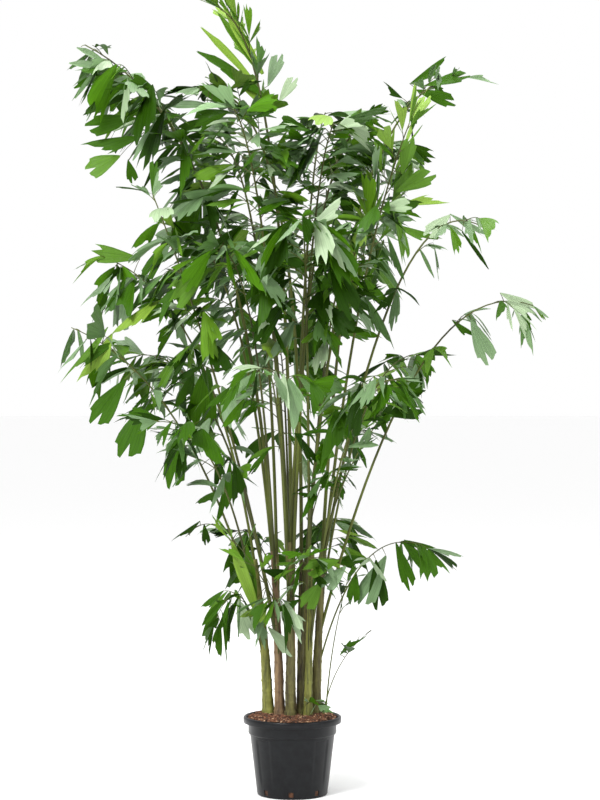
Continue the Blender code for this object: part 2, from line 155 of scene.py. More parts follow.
# Kinds of cane skin: light colour, dark colour, canes.
CANE_KINDS = {
    "canes_green": (
        (0.230, 0.235, 0.050),
        (0.055, 0.060, 0.014),
        ["cane_left", "cane_green", "cane_rear_left"],
    ),
    "canes_ringed": (
        (0.260, 0.170, 0.085),
        (0.055, 0.032, 0.018),
        ["cane_ringed", "cane_back"],
    ),
    "canes_fibrous": (
        (0.150, 0.140, 0.040),
        (0.030, 0.022, 0.010),
        ["cane_front", "cane_slim", "cane_right", "cane_rear_right"],
    ),
}
CANE_STEP = 0.006
CANE_SINK = 0.012
CANE_RISE = 0.03
FLARE = 0.30
FLARE_FADE = 0.018
RING_STEP = 0.040
RING_DEPTH = 0.10
FIBRE_DEPTH = 0.0020
FIBRE_SCALE = 160
FIBRE_STRETCH = 0.12

# Stalks and side ribs.
STALK_RADIUS_BASE = 0.0018
STALK_RADIUS_PER_METRE = 0.0030
STALK_TIP_SHARE = 0.30
PINNA_STEP = 0.085
LEAFLET_STEP = 0.035
PINNA_RADII = (0.0022, 0.0010)
OUTLINE_RIB_RADII = (0.0019, 0.0011)
PINNA_LEAN = (0.45, 0.90)
PINNA_LIFT = (-0.1, 0.45)
PINNA_FALL = (0.05, 0.5)
PINNA_BEND = 0.55
PINNA_REACH = 0.95
PINNA_SHORTEST = 0.06
TIP_ROOM = 0.04
LEAF_PROUD = 0.045
SHRINK = 0.85

# Leaflets: looseness of direction and facing, fall or rise from the rib, droop, and width
# as a share of the length.
LOOSENESS = 0.35
TWIST = 1.1
HANG_FALL = (-0.15, 1.05)
UPRIGHT_RISE = (0.2, 0.9)
DROOP = (0.05, 0.50)
END_WIDTH = (0.45, 0.75)
SIDE_WIDTH = (0.24, 0.50)
NARROW_WIDTH = 0.18
UPRIGHT_WIDTH = 0.6

# Open sky, as left, top, right and bottom in the 600 x 800 picture: no leaflet is laid in front of
# or behind it. The scale is metres to a pixel at the pot's axis.
PICTURE_SCALE = 0.00408
PICTURE_MIDDLE = (300, 400)
CAMERA = Vector((0.031, -8.5, 1.605))
FOCAL_LENGTH = 93.75
SENSOR = 36.0
SKY = (
    (290, 0, 375, 116), (60, 0, 190, 42), (120, 42, 192, 84), (455, 84, 600, 205),
    (425, 108, 600, 160), (0, 192, 128, 236), (500, 205, 600, 285), (452, 262, 600, 286),
    (428, 372, 600, 530), (396, 428, 600, 525), (372, 455, 600, 530), (0, 440, 150, 600),
    (150, 492, 196, 600), (385, 245, 432, 262), (0, 280, 62, 600), (155, 600, 198, 700),
    (150, 548, 222, 590), (362, 590, 600, 700), (80, 200, 150, 236), (0, 0, 66, 320),
)

# Leaflets that stand out in the outline: frond, leaf green (sage and pale carry painted sheen, dark
# carries painted shade), blade, foot x and y and tip x and y in the picture, width in metres.
OUTLINE_LEAVES = (
    ("frond_top", "young", "spear", 263, 74, 222, 2, 0.040),
    ("frond_top", "bright", "spear", 259, 72, 216, 8, 0.036),
    ("frond_top", "young", "spear", 255, 84, 198, 22, 0.036),
    ("frond_top", "deep", "spear", 250, 84, 194, 48, 0.044),
    ("frond_top", "deep", "spear", 262, 95, 218, 66, 0.050),
    ("frond_top", "sage", "fan", 268, 86, 281, 50, 0.075),
    ("frond_top", "pale", "fan", 279, 102, 297, 74, 0.070),
    ("frond_top", "young", "spear", 268, 110, 236, 78, 0.040),
    ("frond_left_high", "sage", "spear", 104, 62, 75, 46, 0.030),
    ("frond_left_high", "sage", "spear", 106, 68, 67, 62, 0.034),
    ("frond_left_high", "deep", "spear", 110, 74, 72, 88, 0.036),
    ("frond_left_high", "sage", "fan", 114, 80, 150, 80, 0.085),
    ("frond_left_high", "dark", "fishtail_left", 128, 96, 78, 106, 0.100),
    ("frond_left_high", "deep", "fan", 136, 118, 82, 128, 0.110),
    ("frond_left_high", "deep", "fishtail_right", 142, 136, 82, 152, 0.095),
    ("frond_left_high", "bright", "fan", 120, 156, 84, 172, 0.115),
    ("frond_left_high", "deep", "fan", 128, 160, 134, 184, 0.060),
    ("frond_left_crest", "deep", "fishtail_left", 206, 118, 166, 141, 0.075),
    ("frond_left_crest", "sage", "spear", 210, 106, 164, 105, 0.040),
    ("frond_left_crest", "deep", "spear", 224, 104, 198, 84, 0.045),
    ("frond_left_mid", "bright", "fan_split", 140, 259, 85, 251, 0.100),
    ("frond_left_mid", "sage", "fishtail_long", 116, 272, 84, 310, 0.060),
    ("frond_left_mid", "deep", "fishtail_right", 126, 276, 108, 314, 0.055),
    ("frond_left_low", "bright", "fishtail_long", 108, 327, 64, 386, 0.060),
    ("frond_left_low", "young", "fishtail_right", 112, 334, 86, 386, 0.110),
    ("frond_left_low", "deep", "fishtail_left", 116, 342, 78, 362, 0.060),
    ("frond_left_low", "deep", "fan", 125, 380, 91, 427, 0.130),
    ("frond_left_low", "deep", "fan", 146, 404, 122, 461, 0.150),
    ("frond_left_low", "deep", "fan", 180, 428, 172, 492, 0.125),
    ("frond_left_low", "sage", "fan", 210, 418, 190, 456, 0.095),
    ("frond_left_low", "dark", "fishtail_long", 216, 456, 222, 496, 0.070),
    ("frond_left_low", "deep", "fishtail_right", 230, 462, 222, 530, 0.080),
    ("frond_right_mid", "sage", "fishtail_left", 450, 214, 492, 240, 0.050),
    ("frond_right_mid", "dark", "spear", 462, 232, 490, 270, 0.018),
    ("frond_right_mid", "pale", "fan", 450, 215, 424, 238, 0.085),
    ("frond_right_low", "pale", "fan", 500, 293, 539, 312, 0.075),
    ("frond_right_low", "sage", "fan", 471, 320, 492, 366, 0.115),
    ("frond_right_low", "deep", "fishtail_left", 452, 320, 476, 340, 0.045),
    ("frond_right_low", "sage", "fan", 416, 364, 410, 404, 0.085),
    ("frond_right_low", "deep", "fishtail_right", 424, 352, 432, 388, 0.050),
    ("frond_right_high", "deep", "fan", 424, 86, 473, 72, 0.075),
    ("frond_right_high", "deep", "fan", 416, 90, 459, 103, 0.080),
    ("frond_right_high", "deep", "fishtail_left", 410, 84, 452, 58, 0.060),
    ("frond_right_high", "dark", "fishtail_long", 402, 98, 380, 84, 0.045),
    ("frond_right_young", "bright", "fan", 402, 174, 411, 133, 0.085),
    ("frond_right_young", "bright", "fan", 396, 192, 437, 170, 0.100),
    ("frond_right_young", "young", "fishtail_right", 398, 206, 450, 196, 0.060),
    ("frond_right_young", "bright", "fishtail_left", 392, 224, 444, 244, 0.060),
    ("frond_right_inner", "bright", "fan", 361, 430, 386, 390, 0.085),
    ("spray_right", "deep", "fishtail_left", 404, 540, 437, 552, 0.045),
    ("spray_right", "deep", "fan", 402, 541, 432, 572, 0.065),
    ("spray_right", "deep", "fan", 396, 543, 413, 592, 0.075),
    ("spray_right", "sage", "fan", 386, 556, 360, 608, 0.130),
    ("spray_right", "dark", "fan", 376, 560, 380, 612, 0.100),
    ("spray_right", "deep", "fan", 356, 572, 352, 606, 0.070),
    ("spray_left_thin", "dark", "fishtail_long", 200, 521, 172, 544, 0.036),
    ("spray_left_thin", "dark", "fan", 204, 524, 207, 546, 0.045),
    ("spray_left_young", "young", "spear", 259, 616, 230, 534, 0.050),
    ("spray_left_young", "bright", "spear", 256, 600, 246, 540, 0.036),
    ("spray_left_arched", "pale", "fan", 238, 600, 254, 640, 0.115),
    ("spray_left_arched", "deep", "spear", 224, 600, 201, 626, 0.030),
    ("spray_left_arched", "deep", "fishtail_long", 228, 602, 216, 648, 0.045),
    ("spray_left_arched", "deep", "fishtail_long", 222, 612, 231, 666, 0.040),
    ("spray_front_left", "sage", "fishtail_right", 256, 620, 270, 648, 0.055),
    ("spray_front_left", "pale", "fan", 268, 627, 295, 656, 0.075),
    ("spray_front_left", "dark", "fishtail_left", 262, 570, 292, 577, 0.065),
    ("spray_front_right", "bright", "fan", 339, 560, 302, 572, 0.100),
    ("spray_front_right", "sage", "fan", 346, 566, 322, 590, 0.085),
    ("spray_front_right", "bright", "fan", 322, 582, 302, 610, 0.095),
    ("sucker_right", "deep", "fishtail_long", 340, 655, 367, 630, 0.042),
)

# How many side ribs a frond has for its length, and how large its leaflets are, against the usual.
USUAL_FULLNESS = (1.2, 1.0)
FULLNESS = {
    "frond_left_high": (1.5, 1.15),
    "frond_left_low": (0.80, 1.05),
    "frond_left_mid": (1.0, 1.1),
    "frond_left_front": (1.5, 1.0),
    "frond_left_crest": (1.3, 1.0),
    "frond_top": (0.9, 0.9),
    "frond_right_high": (0.65, 0.85),
    "frond_right_mid": (0.42, 0.8),
    "frond_right_low": (0.38, 0.8),
    "frond_right_young": (1.3, 0.9),
    "frond_right_inner": (1.4, 1.0),
    "frond_top_right": (1.8, 0.9),
    "frond_front_low_left": (1.3, 0.9),
    "frond_front_low": (1.0, 0.85),
    "frond_front_low_right": (1.4, 0.95),
    "frond_front_mid_left": (1.8, 1.0),
    "frond_front_mid": (2.0, 1.0),
    "frond_front_mid_right": (2.1, 0.95),
    "frond_front_high_left": (1.8, 1.0),
    "frond_front_high": (2.3, 1.0),
    "frond_back_low_left": (1.4, 1.0),
    "frond_back_low": (1.5, 1.0),
    "frond_back_low_right": (1.3, 1.0),
    "frond_back_mid_left": (1.5, 1.0),
    "frond_back_mid": (1.5, 1.0),
    "frond_back_mid_right": (1.5, 1.0),
    "frond_back_high_left": (1.6, 1.0),
    "frond_back_high": (1.7, 1.0),
    "frond_back_high_right": (1.8, 0.9),
    "spray_right": (0.60, 0.85),
    "spray_left_young": (1.4, 1.2),
    "spray_left_arched": (1.6, 1.0),
    "spray_front_left": (2.2, 1.1),
    "spray_front_right": (2.4, 1.1),
    "spray_inner_right": (3.0, 1.2),
    "spray_back_left": (2.6, 1.1),
    "spray_back_right": (2.6, 1.1),
    "sucker_right": (1.0, 1.5),
}

# Leaf greens: upper colour, under colour, roughness, shine. Where the under colour is the lighter one, it
# is the under side's green lifted to paint light shining through the leaf.
LEAF_GREENS_AND_PAINTED_LIGHT = {
    "deep": ((0.030, 0.092, 0.002), (0.050, 0.145, 0.002), 0.38, 0.08),
    # dark: the leaves' own deep green, darkened further as painted shade of the crown's inside.
    "dark": ((0.013, 0.042, 0.001), (0.024, 0.072, 0.002), 0.36, 0.06),
    "bright": ((0.065, 0.160, 0.006), (0.095, 0.215, 0.008), 0.42, 0.18),
    # sage and pale: upper colours greyed and lightened as painted sheen, the white surround's reflection
    # on the gloss.
    "sage": ((0.125, 0.215, 0.090), (0.070, 0.165, 0.030), 0.40, 0.50),
    "pale": ((0.260, 0.355, 0.200), (0.150, 0.270, 0.100), 0.45, 0.60),
    "young": ((0.170, 0.290, 0.030), (0.150, 0.280, 0.022), 0.45, 0.22),
}
SPRAY_TONE = 0.55
MOTTLE_ROUGHNESS = 0.65
MOTTLE_NOISE = (0.35, 0.65)
MOTTLE_DETAIL = 4.0
MOTTLE_DEPTH = 0.002
VEIN_STRETCH = (16.0, 0.35, 1.0)
VEIN_SCALE = 3.0
VEIN_DETAIL = 2.0
VEIN_NOISE = (0.30, 0.70)
VEIN_TINT = (0.62, 1.32)
VEIN_BUMP = 0.6
VEIN_DEPTH = 0.003

# Leaf greens of a grown and of a fresh frond, and their weights: sage and pale bring painted sheen, dark
# brings painted shade.
MATURE = (("deep", 6), ("dark", 6), ("bright", 2.5), ("sage", 6), ("pale", 2.5), ("young", 0.3))
FRESH = (("deep", 2), ("bright", 5), ("young", 4), ("sage", 1))

# Flakes of bark: piece, count, shortest, longest, light colour, dark colour.
CHIPS = (
    ("chips_dark", 1500, 0.006, 0.018, (0.085, 0.035, 0.018), (0.030, 0.014, 0.008)),
    ("chips_red", 1300, 0.006, 0.020, (0.230, 0.095, 0.045), (0.110, 0.042, 0.020)),
    ("chips_pale", 420, 0.005, 0.017, (0.560, 0.360, 0.220), (0.330, 0.180, 0.100)),
)
CHIP_LIFT = 0.006
CHIP_WIDTH = 0.42
CHIP_THICKNESS = 0.22

# The stage, and its lamps: name, place, size, power.
FLOOR_SIZE = 200.0
FLOOR_GAP = 0.0005
FLOOR_COLOUR = (0.97, 0.97, 0.97, 1)
LAMP_AIM = Vector((0, 0, 1.7))
LAMPS = (
    ("key", (-3.0, -4.5, 6.0), 2.4, 520),
    ("fill", (4.5, -4.0, 3.5), 4.0, 120),
    ("top", (0.0, 0.5, 7.0), 3.0, 260),
)


def pick(weighted):
    """One name of a weighted list, by chance."""
    total = sum(weight for _, weight in weighted)
    mark = DRAW.random() * total
    for name, weight in weighted:
        mark -= weight
        if mark <= 0:
            return name
    return weighted[-1][0]


def new_piece(name, shape, material=None):
    """The object of a finished shape, linked into the scene."""
    mesh = bpy.data.meshes.new(name)
    shape.to_mesh(mesh)
    shape.free()
    if material:
        mesh.materials.append(material)
    piece = bpy.data.objects.new(name, mesh)
    bpy.context.scene.collection.objects.link(piece)
    return piece


# Leaf blades.

def fishtail(across):
    """Length of the blade at a share of its width: a slanted end with one long tail."""
    return 0.62 + 0.38 * across ** 1.6


def fishtail_turned(across):
    """The same slanted end with its tail on the other side."""
    return fishtail(1 - across)


def fishtail_drawn(across):
    """A slanted end that is drawn out into a long narrow tail."""
    return 0.5 + 0.5 * across ** 2.2


def fan(across):
    """A broad end leaflet of two lobes with a notch between them."""
    lobe = math.sin(math.pi * min(1.0, abs(2 * across - 1) * 1.3))
    notch = abs(across - 0.5) < 0.1
    return 0.78 + 0.22 * lobe - 0.10 * notch


def fan_uneven(across):
    """The broad end leaflet with its lobes out of true."""
    return fan((across * 1.2) % 1.0)


def spear(across):
    """A narrow leaflet, longest at its middle."""
    return 0.70 + 0.30 * math.sin(math.pi * across)


def wedge_width(along):
    """Share of the width: narrow foot, widest near the ragged end."""
    return 0.07 + 0.93 * along ** 0.9 * (1 - 0.22 * max(0.0, along - 0.7) / 0.3)


def spear_width(along):
    """Share of the width: widest at the middle."""
    return 0.10 + 0.90 * math.sin(math.pi * (0.08 + 0.80 * along))


def leaf_blade(name, outline, width_rule, tooth, fold, seed, columns=8, rows=5):
    """One leaflet of unit length along +Y and unit width, with its pleats and ragged end."""
    luck = random.Random(seed)
    shape = bmesh.new()
    shape.loops.layers.uv.new("blade")
    bmesh.ops.create_grid(
        shape,
        x_segments=columns,
        y_segments=rows,
        size=0.5,
        calc_uvs=True,
    )
    teeth = [tooth * luck.uniform(0.0, 0.7) for _ in range(columns + 1)]
    for _ in range(2):
        teeth[luck.randrange(1, columns)] += tooth * luck.uniform(0.8, 1.4)
    for corner in shape.verts:
        across = corner.co.x + 0.5
        along = corner.co.y + 0.5
        column = round(across * columns)
        end = outline(across) * (1 - teeth[column])
        reach = end if width_rule is spear_width else 1.0
        wide = width_rule(along * reach)
        pleat = (PLEAT if column % 2 else -PLEAT) * along
        corner.co.x = (across - 0.5) * wide
        corner.co.y = along * end
        corner.co.z = pleat + fold * abs(across - 0.5) * wide
    mesh = bpy.data.meshes.new(name)
    shape.to_mesh(mesh)
    shape.free()
    return mesh


# Blades: outline of the end, width along the blade, depth of the teeth, fold, seed.
BLADE_SHAPES = {
    "fishtail_right": (fishtail, wedge_width, 0.10, 0.25, 1),
    "fishtail_left": (fishtail_turned, wedge_width, 0.10, 0.25, 2),
    "fishtail_long": (fishtail_drawn, wedge_width, 0.10, 0.35, 3),
    "fan": (fan, wedge_width, 0.09, 0.10, 4),
    "fan_split": (fan_uneven, wedge_width, 0.12, 0.20, 5),
    "spear": (spear, spear_width, 0.05, 0.60, 6),
}
PLEAT = 0.018
END_BLADES = ("fan", "fan_split", "fishtail_left", "fishtail_right")
SIDE_BLADES = ("fishtail_right", "fishtail_left", "fishtail_long", "fishtail_long", "spear")
BLADES = {name: leaf_blade(name, *shape) for name, shape in BLADE_SHAPES.items()}

leaves = {name: [] for name in LEAF_GREENS_AND_PAINTED_LIGHT}
stems = []


def across_of(along, wanted):
    """The part of a direction that is square to another."""
    out = wanted - wanted.dot(along) * along
    if out.length < 1e-4:
        out = along.orthogonal()
    return out.normalized()


def inside(point, margin):
    """Whether a point with room round it stays in the plant's box."""
    room = LEAF_PROUD - margin
    sides = zip(point, *cad_box)
    return all(low - room < value < high + room for value, low, high in sides)


def in_sky(point):
    """Whether a point shows in the open sky round the crown."""
    scale = PICTURE_SCALE * (point.y - CAMERA.y) / -CAMERA.y
    x = PICTURE_MIDDLE[0] + (point.x - CAMERA.x) / scale
    y = PICTURE_MIDDLE[1] - (point.z - CAMERA.z) / scale
    return any(left < x < right and top < y < bottom for left, top, right, bottom in SKY)


def hang_leaf(finish, blade, base, along, face, length, width, droop):
    """Notes one leaflet, shrunk to the room it has: it is laid with the others of its leaf green."""
    along = along.normalized()
    tip = base + along * length - UP * droop * length
    if in_sky(tip) or in_sky((base + tip) / 2):
        return
    for _ in range(6):
        if inside(base + along * length - UP * droop * length, width * 0.5):
            leaves[finish].append((blade, base.copy(), along, face, length, width, droop))
            return
        length *= SHRINK
        width *= SHRINK


def lay_leaves(finish, noted, material):
    """All the leaflets of one leaf green, with any painted sheen or shade that green carries, copied from
    their blades and turned into place.
    """
    shape = bmesh.new()
    spans = []
    for blade, *_ in noted:
        shape.from_mesh(BLADES[blade])
        spans.append(len(BLADES[blade].vertices))
    shape.verts.ensure_lookup_table()
    start = 0
    for span, (_, base, along, face, length, width, droop) in zip(spans, noted):
        normal = across_of(along, face)
        side = along.cross(normal)
        for index in range(start, start + span):
            corner = shape.verts[index]
            x, y, z = corner.co
            sag = droop * length * y * y
            place = base + side * (x * width) + along * (y * length)
            corner.co = place + normal * (z * width) - UP * sag
        start += span
    piece = new_piece("leaves_" + finish, shape, material)
    piece.data.shade_smooth()
    return piece


# Growth.

def cane_point(name, height):
    """The middle of a cane at a height."""
    foot_x, foot_y, top_x, top_y, top_z, _, _ = CANES[name]
    share = (height - SOIL_TOP) / (top_z - SOIL_TOP)
    ease = share * (0.4 + 0.6 * share)
    return Vector((foot_x + ease * (top_x - foot_x), foot_y + ease * (top_y - foot_y), height))


def bend_curve(foot, bend, tip, share):
    """A point of a rib, and its direction there."""
    rest = 1.0 - share
    point = rest * rest * foot + 2 * rest * share * bend + share * share * tip
    along = rest * (bend - foot) + share * (tip - bend)
    return point, along.normalized()


def rib(foot, bend, tip, thick, thin, count):
    """Notes one rib: all of them are made at once."""
    points = [bend_curve(foot, bend, tip, k / (count - 1))[0] for k in range(count)]
    radii = [thick + (thin - thick) * k / (count - 1) for k in range(count)]
    stems.append((points, radii))


def grow_pinna(base, along, out, length, hang, palette, size):
    """A side rib with its leaflets on alternate sides and one at its end."""
    lean = DRAW.uniform(*PINNA_LEAN)
    start = (out + lean * along + DRAW.uniform(*PINNA_LIFT) * UP).normalized()
    fall = max(0.0, hang) * DRAW.uniform(*PINNA_FALL)
    bend = base + start * length * PINNA_BEND
    tip = base + start * length * PINNA_REACH - UP * length * fall
    while not inside(tip, TIP_ROOM) and length > PINNA_SHORTEST:
        length *= SHRINK
        bend = base + start * length * PINNA_BEND
        tip = base + start * length * PINNA_REACH - UP * length * fall
    rib(base, bend, tip, *PINNA_RADII, 6)
    tone = pick(palette)
    count = max(1, round(length / LEAFLET_STEP))
    for k in range(count):
        share = 0.22 + 0.68 * (k + DRAW.uniform(0.2, 0.8)) / count
        point, forward = bend_curve(base, bend, tip, share)
        turn = 1 if k % 2 else -1
        sideways = across_of(forward, UP).cross(forward) * turn
        long = size * DRAW.uniform(0.75, 1.15)
        grow_leaflet(point, forward, sideways, hang, palette, tone, long)
    point, forward = bend_curve(base, bend, tip, 1.0)
    long = size * DRAW.uniform(1.0, 1.35)
    grow_leaflet(point, forward, Vector(), hang, palette, tone, long, True)


def grow_leaflet(point, forward, sideways, hang, palette, tone, size, last=False):
    """A leaflet that leaves its rib forwards and sideways and hangs, or points up if hang is negative."""
    # The leaflet mostly takes its rib's green, else a new pick; sage and pale carry painted sheen, dark
    # carries painted shade.
    finish = tone if DRAW.random() < SPRAY_TONE else pick(palette)
    loose = Vector([DRAW.uniform(-LOOSENESS, LOOSENESS) for _ in range(3)])
    if hang >= 0:
        fall = DRAW.uniform(*HANG_FALL)
        along = forward * 0.80 + sideways * 0.60 - UP * hang * fall + loose
    else:
        rise = DRAW.uniform(*UPRIGHT_RISE)
        along = forward + sideways * 0.35 - UP * hang * rise + loose * 0.5
    face = UP + Vector([DRAW.uniform(-TWIST, TWIST) for _ in range(3)]) + sideways * 0.3
    if last:
        blade = DRAW.choice(END_BLADES)
        width = size * DRAW.uniform(*END_WIDTH)
    else:
        blade = DRAW.choice(SIDE_BLADES)
        width = size * (NARROW_WIDTH if blade == "spear" else DRAW.uniform(*SIDE_WIDTH))
    if hang < 0:
        width *= UPRIGHT_WIDTH
    droop = DRAW.uniform(*DROOP) * max(0.3, hang)
    hang_leaf(finish, blade, point, along, face, size, width, droop)


def blade_share(along):
    """Spread of the side ribs along a frond, as a share of its half width."""
    return math.sin(math.pi * along ** 0.65) + 0.35 * along


def grow_frond(name, foot, shape, palette):
    """A stalk with its side ribs and leaflets, on the curve that its solid follows."""
    azimuth, reach, tip_height, lean, bend_height, bare, width, hang = shape
    angle = math.radians(azimuth)
    heading = Vector((math.cos(angle), math.sin(angle), 0))
    level = Vector((-heading.y, heading.x, 0))
    bend = Vector((foot.x, foot.y, bend_height)) + lean * reach * heading
    tip = Vector((foot.x, foot.y, tip_height)) + reach * heading
    marks = [bend_curve(foot, bend, tip, k / 20)[0] for k in range(21)]
    length = sum((b - a).length for a, b in zip(marks, marks[1:]))
    thick = STALK_RADIUS_BASE + STALK_RADIUS_PER_METRE * length
    rib(foot, bend, tip, thick, thick * STALK_TIP_SHARE, 26)
    blade = length * (1 - bare)
    full, large = FULLNESS.get(name, USUAL_FULLNESS)
    count = max(3, round(full * blade / PINNA_STEP))
    upright = 1.25 if hang < 0 else 1.0
    size = min(0.19, 0.065 + 0.44 * width) * upright * large
    for k in range(count):
        share = (k + DRAW.uniform(0.1, 0.7)) / count
        point, along = bend_curve(foot, bend, tip, bare + (1 - bare) * share)
        side = level * (1 if k % 2 else -1)
        spread = width * blade_share(share) * DRAW.uniform(0.8, 1.1)
        spread = max(0.05, spread - 0.4 * size)
        grow_pinna(point, along, side, spread, hang, palette, size * DRAW.uniform(0.8, 1.1))
    point, along = bend_curve(foot, bend, tip, 1.0)
    for turn in (-0.7, 0.0, 0.7):
        tone = pick(palette)
        grow_leaflet(point, along, level * turn, hang * 0.5, palette, tone, size * 1.1, turn == 0)
    for frond, *leaf in OUTLINE_LEAVES:
        if frond == name:
            grow_outline_leaf((foot, bend, tip), *leaf)


def at_picture(x, y, depth):
    """The place that shows at a point of the picture, at a depth."""
    scale = PICTURE_SCALE * (depth - CAMERA.y) / -CAMERA.y
    x_shift = (x - PICTURE_MIDDLE[0]) * scale
    z_shift = (PICTURE_MIDDLE[1] - y) * scale
    return Vector((CAMERA.x + x_shift, depth, CAMERA.z + z_shift))


def grow_outline_leaf(curve, finish, blade, foot_x, foot_y, tip_x, tip_y, width):
    """A leaflet seen in the outline, on a side rib from the nearest part of its frond."""
    marks = [bend_curve(*curve, k / 40)[0] for k in range(12, 41)]
    node = min(marks, key=lambda mark: (at_picture(foot_x, foot_y, mark.y) - mark).length)
    base = at_picture(foot_x, foot_y, node.y)
    along = at_picture(tip_x, tip_y, node.y + DRAW.uniform(-0.05, 0.03)) - base
    gap = (base - node).length
    if gap > 0.006:
        rib(node, (node + base) / 2 + UP * 0.15 * gap, base, *OUTLINE_RIB_RADII, 7)
    face = Vector((DRAW.uniform(-0.4, 0.4), -1.0, DRAW.uniform(0.1, 0.7)))
    leaves[finish].append((blade, base, along.normalized(), face, along.length, width, 0.03))


def grow_all():
    """Every frond, spray and sucker, noted as ribs and leaflets."""
    for name, (cane, height, *shape) in FRONDS.items():
        palette = FRESH if shape[-1] < 0 else MATURE
        grow_frond(name, cane_point(cane, height), shape, palette)
    for name, (foot_x, foot_y, *shape) in SUCKERS.items():
        foot = Vector((foot_x, foot_y, SOIL_TOP - SUCKER_SINK))
        grow_frond(name, foot, shape, MATURE)


# Tubes.

def tubes(name, runs, resolution, material):
    """All the runs of points as round tubes, in one mesh."""
    curve = bpy.data.curves.new(name + "_line", "CURVE")
    curve.dimensions = "3D"
    curve.bevel_depth = 1.0
    curve.bevel_resolution = resolution
    curve.use_fill_caps = True
    for points, radii in runs:
        spline = curve.splines.new("POLY")
        spline.points.add(len(points) - 1)
        for target, point, radius in zip(spline.points, points, radii):
            target.co = (*point, 1.0)
            target.radius = radius
    line = bpy.data.objects.new(name + "_line", curve)
    bpy.context.scene.collection.objects.link(line)
    graph = bpy.context.evaluated_depsgraph_get()
    mesh = bpy.data.meshes.new_from_object(line.evaluated_get(graph))
    bpy.data.objects.remove(line)
    shape = bmesh.new()
    shape.from_mesh(mesh)
    bmesh.ops.remove_doubles(shape, verts=shape.verts, dist=0.00005)
    bmesh.ops.recalc_face_normals(shape, faces=shape.faces)
    shape.to_mesh(mesh)
    shape.free()
    mesh.name = name
    mesh.materials.clear()
    mesh.materials.append(material)
    mesh.shade_smooth()
    piece = bpy.data.objects.new(name, mesh)
    bpy.context.scene.collection.objects.link(piece)
    return piece


def cane_run(name):
    """The cane's centre line, and its radii with a flared foot and ring scars."""
    top = CANES[name][4]
    foot_radius, top_radius = CANES[name][5:]
    points = []
    radii = []
    height = SOIL_TOP - CANE_SINK
    while height < top + CANE_RISE:
        rise = height - SOIL_TOP
        share = min(1.0, max(0.0, rise / (top - SOIL_TOP)))
        flare = FLARE * math.exp(-max(0.0, rise) / FLARE_FADE)
        ring = RING_DEPTH * max(0.0, math.sin(height * math.tau / RING_STEP)) ** 8
        radius = foot_radius + share * (top_radius - foot_radius)
        points.append(cane_point(name, height))
        radii.append(radius * (1 + flare + ring))
        height += CANE_STEP
    return points, radii


def roughen(piece, depth, scale):
    """Moves the skin in and out along the fibres."""
    for corner in piece.data.vertices:
        place = corner.co.copy()
        place.z *= FIBRE_STRETCH
        corner.co += corner.normal * depth * noise.noise(place * scale)


# Pot and soil.

def make_pot(material):
    """The pot turned from its profile, from the middle of its floor over the rim to its underside."""
    inner = BAND_RADIUS - WALL
    rim_foot = POT_HEIGHT - RIM_DEPTH
    profile = [
        (0.001, POT_FLOOR),
        (BASE_RADIUS - WALL, POT_FLOOR),
        (NECK_RADIUS - WALL, BAND_FOOT),
        (inner, BAND_FOOT + 0.004),
        (inner, rim_foot),
        (RIM_RADIUS - 0.012, POT_HEIGHT - 0.006),
        (RIM_RADIUS - 0.010, POT_HEIGHT - 0.0015),
        (RIM_RADIUS - 0.008, POT_HEIGHT),
        (RIM_RADIUS - 0.004, POT_HEIGHT - 0.001),
        (RIM_RADIUS - 0.001, POT_HEIGHT - 0.004),
        (RIM_RADIUS, POT_HEIGHT - 0.008),
        (RIM_RADIUS, rim_foot + 0.005),
        (RIM_RADIUS - 0.002, rim_foot + 0.001),
        (RIM_RADIUS - 0.006, rim_foot),
        (BAND_RADIUS + 0.001, rim_foot - 0.001),
        (BAND_RADIUS, rim_foot - 0.004),
        (BAND_RADIUS, BAND_FOOT + 0.004),
        (BAND_RADIUS - 0.002, BAND_FOOT),
        (NECK_RADIUS, BAND_FOOT - 0.003),
        (NECK_RADIUS - 0.0012, BAND_FOOT - 0.012),
    ]
    wall_top = BAND_FOOT - 0.014
    for k in range(12):
        height = wall_top + (WALL_FOOT - wall_top) * k / 11
        profile.append((wall_radius(height), height))
    profile += [(BASE_RADIUS - 0.001, 0.001), (BASE_RADIUS - 0.003, 0.0), (0.001, 0.0)]
    shape = bmesh.new()
    rims = [shape.verts.new((radius, 0, height)) for radius, height in profile]
    edges = [shape.edges.new(pair) for pair in zip(rims, rims[1:])]
    bmesh.ops.spin(
        shape,
        geom=rims + edges,
        cent=(0, 0, 0),
        axis=(0, 0, 1),
        angle=math.tau,
        steps=160,
        use_merge=True,
    )
    bmesh.ops.remove_doubles(shape, verts=shape.verts, dist=0.0005)
    for corner in shape.verts:
        flute(corner)
    bmesh.ops.recalc_face_normals(shape, faces=shape.faces)
    pot = new_piece("pot_shell", shape, material)
    pot.data.shade_smooth()
    pot.data.set_sharp_from_angle(angle=math.radians(SHARP_ANGLE))
    cut_drains(pot)
    return pot


def wall_radius(height):
    """Outer radius of the tapered wall at a height."""
    return BASE_RADIUS + (NECK_RADIUS - BASE_RADIUS) * height / BAND_FOOT


def flute(corner):
    """Presses shallow upright panels into the outer wall, between the foot and the band."""
    x, y, height = corner.co
    radius = math.hypot(x, y)
    off_wall = abs(radius - wall_radius(height)) > WALL_SLACK
    if off_wall or not FLUTE_FOOT < height < FLUTE_TOP:
        return
    angle = (math.degrees(math.atan2(y, x)) + 90) % 90
    angle = min(angle, 90 - angle)
    if angle > FLUTE_START:
        corner.co.x *= 1 - FLUTE_DEPTH / radius
        corner.co.y *= 1 - FLUTE_DEPTH / radius


